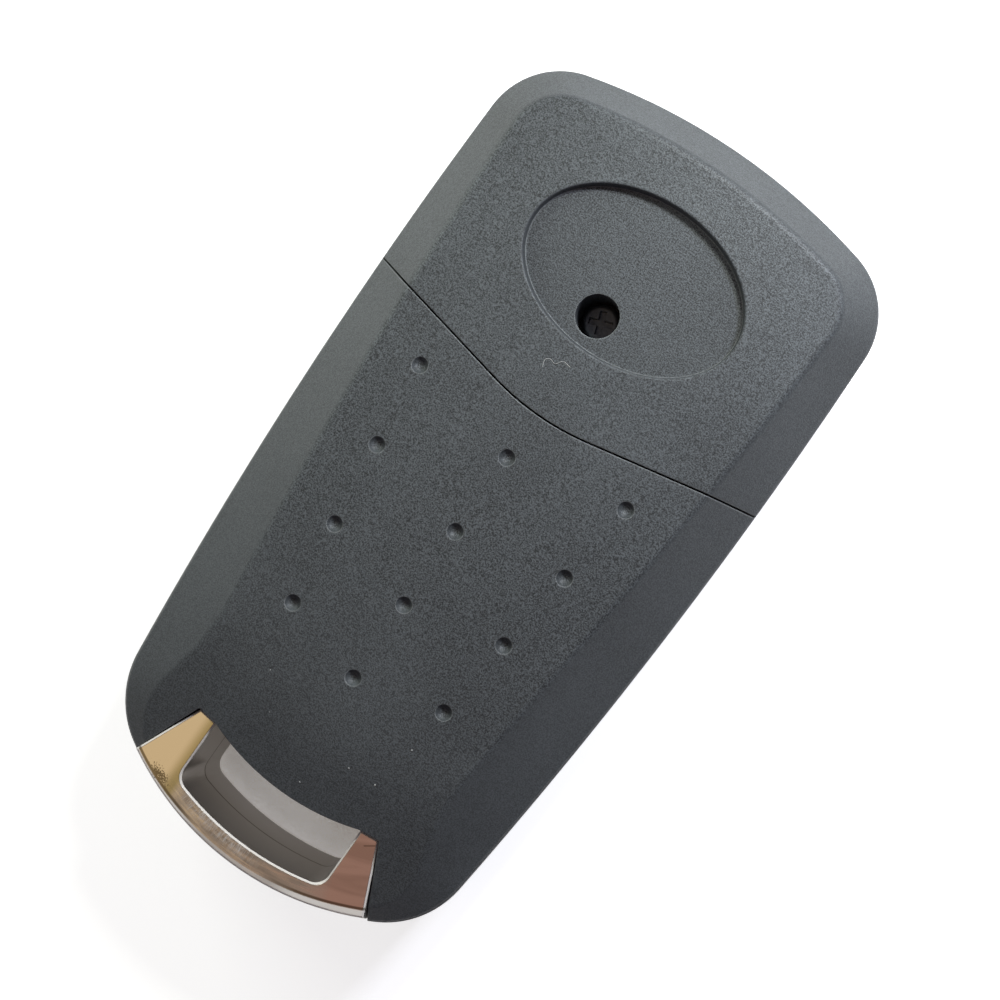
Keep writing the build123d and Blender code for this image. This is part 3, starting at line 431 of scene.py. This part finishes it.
grime = work(tree, "MAXIMUM", grime, product(tree, within, thin, SCRATCH_MOST))

# painted olive reflection down the inner side of the left lug
OLIVE_REFLECTION_SPAN = (-8.9 * MM, -7.7 * MM, 0.0, 0.85)
OLIVE_REFLECTION_ENDS = (-7.5 * MM, -7.0 * MM)
olive_reflection_mask = ramp(tree, place.outputs["X"], *OLIVE_REFLECTION_SPAN, smooth=True)
olive_reflection_mask = product(tree, olive_reflection_mask, ramp(tree, place.outputs["X"], *OLIVE_REFLECTION_ENDS, 1.0, 0.0), top)

# painted highlight along the small bevels round the top; the pale strip is kept to the top faces
BEVEL_LEAN = 0.68
RIM_HIGHLIGHT_RANGE = (0.24, 0.20, 0.0, 0.85)
WALL_LEAN = (0.2, 0.4)
facet = add(tree, "NewGeometry").outputs["True Normal"]
lean = add(tree, "SeparateXYZ", {0: facet}).outputs["Z"]
rim_highlight = ramp(tree, distance_from(tree, lean, BEVEL_LEAN), *RIM_HIGHLIGHT_RANGE)
pale_strip_reflection = product(tree, pale_strip_reflection, ramp(tree, lean, *WALL_LEAN, 0.0, 1.0))
painted_pale = work(tree, "MAXIMUM", rim_highlight, pale_strip_reflection)

# painted brown reflection in cloudy patches on the right lug and the bar
PATCHES = 700.0
PATCH_TWIST = 0.6
PATCH_RANGE = (0.42, 0.62, 0.0, 0.35)
PATCH_FADE = (-2 * MM, 5 * MM)
patches = ramp(tree, noise(tree, stretched, PATCHES, 2.0, distortion=PATCH_TWIST), *PATCH_RANGE)
brown_reflection_patches = product(tree, patches, ramp(tree, arc, *PATCH_FADE, 0.0, 1.0), top)

# colour, gloss and what is left of the metal
SATIN_WALL = 0.65
DULL_ROUGH = 0.5
DULL_METAL = -0.45
DULL_BUMP = {"Strength": 0.25, "Distance": 0.01 * MM}
paint = CHROME
for share, colour in (
    (brown_reflection_patches, DULLED_AND_REFLECTED), (dull, DULLED_AND_REFLECTED), (olive_reflection_mask, OLIVE_REFLECTION), (scuffs, PALE_WEAR_AND_HIGHLIGHT), (painted_pale, PALE_WEAR_AND_HIGHLIGHT), (grime, GRIME),
):
    paint = mix(tree, share, paint, colour)
# scuffs, and the painted highlight and reflection, lose the chrome
scuffed_and_painted_pale = work(tree, "MAXIMUM", scuffs, painted_pale)
rough = work(tree, "MULTIPLY_ADD", dull, DULL_ROUGH, scuffed_and_painted_pale)
rough = work(tree, "MAXIMUM", rough, ramp(tree, top, 0.0, 1.0, SATIN_WALL, 0.0))
covered = work(tree, "MULTIPLY_ADD", dull, DULL_METAL, 1.0)
bump = add(tree, "Bump", {**DULL_BUMP, "Height": dull, "Normal": wear_and_glint.outputs["Normal"]})
close_material(tree, add(tree, "BsdfPrincipled", {
    "Base Color": paint, "Roughness": ramp(tree, rough, 0.0, 1.0, *CHROME_GLOSS),
    "Metallic": work(tree, "SUBTRACT", covered, scuffed_and_painted_pale, clamp=True), "Normal": bump.outputs[0],
    "Specular Tint": CHROME_TINT,
}))
dress("key_ring_bar", bar_chrome)


# Casing screw: a small black-zinc screw with a cross recess, driven from the back through the rear casing.
BLACK_ZINC = (0.115, 0.130, 0.145, 1)
METAL_EDGE_R = 0.1 * MM
METAL_LINES = 3000.0
METAL_BUMP = {"Strength": 0.25, "Distance": 0.01 * MM}
LINE_TONE = 0.82
EVEN_GRAIN = (1, 1, 1)


def plain_metal(name, colour, rough, grain=EVEN_GRAIN, metallic=1.0):
    """Machined or plated metal with a fine grain, stretched where grain is less than 1."""
    material, tree = blank_material(name)
    spot = add(tree, "TexCoord")
    wear_and_glint = place_group(tree, lit_wear_group, {"Radius": METAL_EDGE_R})
    along = add(tree, "Mapping", {"Vector": spot.outputs["Object"], "Scale": grain})
    lines = noise(tree, along.outputs[0], METAL_LINES, 4.0)
    bump = add(tree, "Bump", {**METAL_BUMP, "Height": lines, "Normal": wear_and_glint.outputs["Normal"]})
    close_material(tree, add(tree, "BsdfPrincipled", {
        "Base Color": mix(tree, lines, colour, [c * LINE_TONE for c in colour[:3]] + [1]),
        "Roughness": ramp(tree, lines, 0.3, 0.7, rough * 0.8, rough * 1.25),
        "Metallic": metallic, "Normal": bump.outputs[0],
    }))
    return material


dress("casing_screw", plain_metal("screw_zinc", BLACK_ZINC, 0.35, metallic=0.6))


# Flip mechanism: a nickel-plated zinc hub that turns in the head, an uncut nickel-plated blade pinned into it,
# and a wire spring between the hub and the chrome-plated release button.
HUB_NICKEL = (0.50, 0.50, 0.50, 1)
BLADE_NICKEL = (0.66, 0.65, 0.62, 1)
PIN_STEEL = (0.40, 0.40, 0.41, 1)
SPRING_WIRE = (0.45, 0.45, 0.45, 1)
BUTTON_CHROME = (0.80, 0.80, 0.81, 1)
dress("blade_hub", plain_metal("hub_nickel", HUB_NICKEL, 0.38))
dress("key_blade", plain_metal("blade_nickel", BLADE_NICKEL, 0.24, (1, 0.04, 1)))
dress("blade_pin", plain_metal("pin_steel", PIN_STEEL, 0.3, (1, 1, 0.1)))
dress("flip_spring", plain_metal("spring_wire", SPRING_WIRE, 0.3))
dress("release_button", plain_metal("button_chrome", BUTTON_CHROME, 0.08))


# Lock and unlock keys: hard caps moulded in the casing's colour with a smoother grain, pushed out by the pad's domes.
# tones of pits, tops and edges; the pale edge tone is wear and also a painted highlight along the edges
KEY_CHARCOAL = ((0.026, 0.028, 0.030, 1), (0.060, 0.064, 0.067, 1), (0.13, 0.135, 0.14, 1))
KEY_GRAIN_SIZE = 0.18 * MM
KEY_GRAIN_HEIGHT = 0.012 * MM
KEY_EDGE_R = 0.12 * MM
key_plastic = grained_plastic("key_plastic", KEY_CHARCOAL, KEY_GRAIN_SIZE, KEY_GRAIN_HEIGHT, KEY_EDGE_R)
for node in ("lock_key", "unlock_key"):
    dress(node, key_plastic)


# Key symbols: a closed and an open padlock, pad-printed in pale ink on the faces of the lock and unlock keys.
# The ink stands a few hundredths of a millimetre proud of the plastic.
SYMBOL_BODY = (2.6 * MM, 2.0 * MM)
SYMBOL_CORNER_R = 0.3 * MM
SHACKLE_R = 0.82 * MM
SHACKLE_LINE = 0.36 * MM
SHACKLE_LEG = 0.45 * MM
SHACKLE_SHOWN = 0.8         # share of the legs that shows above the body
SHACKLE_LIFT = 0.35 * MM
OPEN_LEG = 0.1 * MM
INK_PROUD = 0.02 * MM
INK_SUNK = 0.04 * MM
INK_TONES = ((0.50, 0.51, 0.51, 1), (0.68, 0.69, 0.69, 1))
INK_MOTTLE = 6000.0
INK_ROUGH = 0.55
CORNER_STEPS = 5
SHACKLE_STEPS = 16


def body_outline():
    """Rectangle with rounded corners, round its own middle."""
    half_x, half_y = SYMBOL_BODY[0] / 2 - SYMBOL_CORNER_R, SYMBOL_BODY[1] / 2 - SYMBOL_CORNER_R
    outline = []
    for corner, (side_x, side_y) in enumerate(((1, 1), (-1, 1), (-1, -1), (1, -1))):
        for step in range(CORNER_STEPS + 1):
            angle = pi / 2 * (corner + step / CORNER_STEPS)
            out_x, out_y = SYMBOL_CORNER_R * cos(angle), SYMBOL_CORNER_R * sin(angle)
            outline.append((side_x * half_x + out_x, side_y * half_y + out_y))
    return outline


def shackle_outline(left_leg, right_leg, base):
    """Bow of even width on two legs that reach down from its ends."""
    inner, outer = SHACKLE_R - SHACKLE_LINE / 2, SHACKLE_R + SHACKLE_LINE / 2
    turns = [pi * step / SHACKLE_STEPS for step in range(SHACKLE_STEPS + 1)]
    bow = [(outer * cos(turn), base + outer * sin(turn)) for turn in turns]
    hollow = [(inner * cos(turn), base + inner * sin(turn)) for turn in reversed(turns)]
    left = [(-outer, base - left_leg), (-inner, base - left_leg)]
    right = [(inner, base - right_leg), (outer, base - right_leg)]
    return bow + left + hollow + right


def ink_mesh(name, outlines, centre, face_z):
    """Flat prisms of ink over each outline, on a face that looks down."""
    points, faces = [], []
    for outline in outlines:
        first, count = len(points), len(outline)
        for z in (face_z - INK_PROUD, face_z + INK_SUNK):
            points += [(centre[0] + x, centre[1] + y, z) for x, y in outline]
        faces.append([first + i for i in reversed(range(count))])
        faces.append([first + count + i for i in range(count)])
        for i in range(count):
            j = (i + 1) % count
            faces.append([first + i, first + j, first + count + j, first + count + i])
    mesh = bpy.data.meshes.new(name)
    mesh.from_pydata(points, [], faces)
    return mesh


symbol_ink, tree = blank_material("symbol_ink")
spot = add(tree, "TexCoord").outputs["Object"]
paint = mix(tree, noise(tree, spot, INK_MOTTLE, 3.0), *INK_TONES)
close_material(tree, add(tree, "BsdfPrincipled", {"Base Color": paint, "Roughness": INK_ROUGH}))

for node, body, lift, right_leg in (
    ("lock_key", "lock", 0.0, SHACKLE_LEG), ("unlock_key", "unlock", SHACKLE_LIFT, OPEN_LEG),
):
    low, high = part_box(node)
    centre = ((low[0] + high[0]) / 2, (low[1] + high[1]) / 2 - SHACKLE_R / 2)
    base = SYMBOL_BODY[1] / 2 + SHACKLE_LEG * SHACKLE_SHOWN + lift
    outlines = [body_outline(), shackle_outline(SHACKLE_LEG + lift, right_leg, base)]
    symbol = put(body + "_symbol", ink_mesh(body + "_symbol", outlines, centre, low[2]))
    symbol.data.materials.append(symbol_ink)
    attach(symbol, body)


# Button pad: one sheet of grey silicone with a dome under each key, held on three ribs of the front casing.
PAD_TONES = ((0.24, 0.25, 0.26, 1), (0.34, 0.35, 0.36, 1))
PAD_BLOOM = 500.0
PAD_ROUGH = 0.62
PAD_SHEEN = 0.1
PAD_BUMP = {"Strength": 0.3, "Distance": 0.02 * MM}
pad_silicone, tree = blank_material("pad_silicone")
bloom = noise(tree, add(tree, "TexCoord").outputs["Object"], PAD_BLOOM, 5.0)
bump = add(tree, "Bump", {**PAD_BUMP, "Height": bloom})
close_material(tree, add(tree, "BsdfPrincipled", {
    "Base Color": mix(tree, bloom, *PAD_TONES), "Roughness": PAD_ROUGH, "Normal": bump.outputs[0],
    "Sheen Weight": PAD_SHEEN,
}))
dress("button_pad", pad_silicone)


# Dust: a curled pale fibre below the badge recess and a few white specks near the ring bar. They cling to the
# grain of the plastic and lie on the surface that is under them.
FIBRE_PATH = [(-1.92, 12.72), (-2.10, 13.32), (-1.75, 13.62), (-1.22, 13.52), (-0.77, 14.05), (-0.02, 13.98)]
FIBRE_R = 0.022 * MM
FIBRE_STEPS = 40
FIBRE_SIDES = 6
SPECKS = [(6.53, -23.42), (-4.15, -23.72), (3.96, -23.56), (7.4, -19.2), (-6.1, -20.8), (1.2, -27.1)]
SPECK_R = 0.06 * MM
SPECK_LIFT = 0.2
SPECK_LEAST = (0.6, 0.6, 0.5)
SPECK_MOST = (1.3, 1.5, 0.9)
SPECK_SEED = 4
LOOK_FROM = 30 * MM
DUST_TONES = ((0.22, 0.22, 0.21, 1), (0.52, 0.52, 0.51, 1))
DUST_FLUFF = 20000.0
DUST_ROUGH = 0.9

dust_white, tree = blank_material("dust_white")
fluff = noise(tree, add(tree, "TexCoord").outputs["Object"], DUST_FLUFF, 2.0)
close_material(tree, add(tree, "BsdfPrincipled", {
    "Base Color": mix(tree, fluff, *DUST_TONES), "Roughness": DUST_ROUGH,
}))


def on_surface(node, places, lift):
    """Points at these places (mm) on the top of a CAD node, a little above it."""
    solid = BVHTree.FromObject(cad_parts[node], bpy.context.evaluated_depsgraph_get())
    hits = [solid.ray_cast(Vector((x * MM, y * MM, LOOK_FROM)), Vector((0, 0, -1)))[0] for x, y in places]
    return [hit + Vector((0, 0, lift)) for hit in hits]


def geometry_tree(name, *sizes):
    """Geometry Nodes group with a mesh in, named sizes in and a mesh out."""
    return new_group(
        name, "GeometryNodeTree", [("Geometry", "NodeSocketGeometry", None), *sizes],
        [("Geometry", "NodeSocketGeometry")],
    )


def finish_tree(tree, made, outside):
    """Real geometry in the dust's material as the tree's result."""
    whole = add(tree, "RealizeInstances", {"Geometry": made.outputs[0]})
    done = add(tree, "SetMaterial", {"Geometry": whole.outputs[0], "Material": dust_white})
    tree.links.new(done.outputs[0], outside.inputs["Geometry"])


def grown(name, points, edges, tree):
    """Plain mesh that the tree makes from these points."""
    seed = bpy.data.meshes.new(name + "_seed")
    seed.from_pydata(points, edges, [])
    grower = put(name + "_seed", seed)
    grower.modifiers.new(name, "NODES").node_group = tree
    depsgraph = bpy.context.evaluated_depsgraph_get()
    mesh = bpy.data.meshes.new_from_object(grower.evaluated_get(depsgraph), depsgraph=depsgraph)
    bpy.data.objects.remove(grower)
    mesh.name = name
    return put(name, mesh)


fibre_tree, inside, outside = geometry_tree("curled_fibre", ("Radius", "NodeSocketFloat", FIBRE_R))
path = add(fibre_tree, "MeshToCurve", {"Mesh": inside.outputs["Geometry"]})
path = add(fibre_tree, "CurveSplineType", {"Curve": path.outputs[0]}, spline_type="CATMULL_ROM")
path = add(fibre_tree, "ResampleCurve", {"Curve": path.outputs[0], "Count": FIBRE_STEPS})
ring = add(fibre_tree, "CurvePrimitiveCircle", {"Resolution": FIBRE_SIDES, "Radius": inside.outputs["Radius"]})
tube = add(fibre_tree, "CurveToMesh", {
    "Curve": path.outputs[0], "Profile Curve": ring.outputs[0], "Fill Caps": True,
})
finish_tree(fibre_tree, tube, outside)
points = on_surface("rear_casing", FIBRE_PATH, FIBRE_R)
fibre = grown("dust_fibre", points, [(i, i + 1) for i in range(len(points) - 1)], fibre_tree)
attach(fibre, "casing")

speck_tree, inside, outside = geometry_tree(
    "dust_specks", ("Radius", "NodeSocketFloat", SPECK_R), ("Seed", "NodeSocketInt", SPECK_SEED),
)
grit = add(speck_tree, "MeshIcoSphere", {"Radius": inside.outputs["Radius"], "Subdivisions": 2})
spread = speck_tree.nodes.new("FunctionNodeRandomValue")
spread.data_type = "FLOAT_VECTOR"
spread.inputs[0].default_value = SPECK_LEAST
spread.inputs[1].default_value = SPECK_MOST
speck_tree.links.new(inside.outputs["Seed"], spread.inputs["Seed"])
scattered = add(speck_tree, "InstanceOnPoints", {
    "Points": inside.outputs["Geometry"], "Instance": grit.outputs[0], "Scale": spread.outputs[0],
})
finish_tree(speck_tree, scattered, outside)
specks = grown("dust_specks", on_surface("battery_cover", SPECKS, SPECK_LIFT * SPECK_R), [], speck_tree)
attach(specks, "cover")


bpy.context.scene.view_settings.view_transform = "Standard"
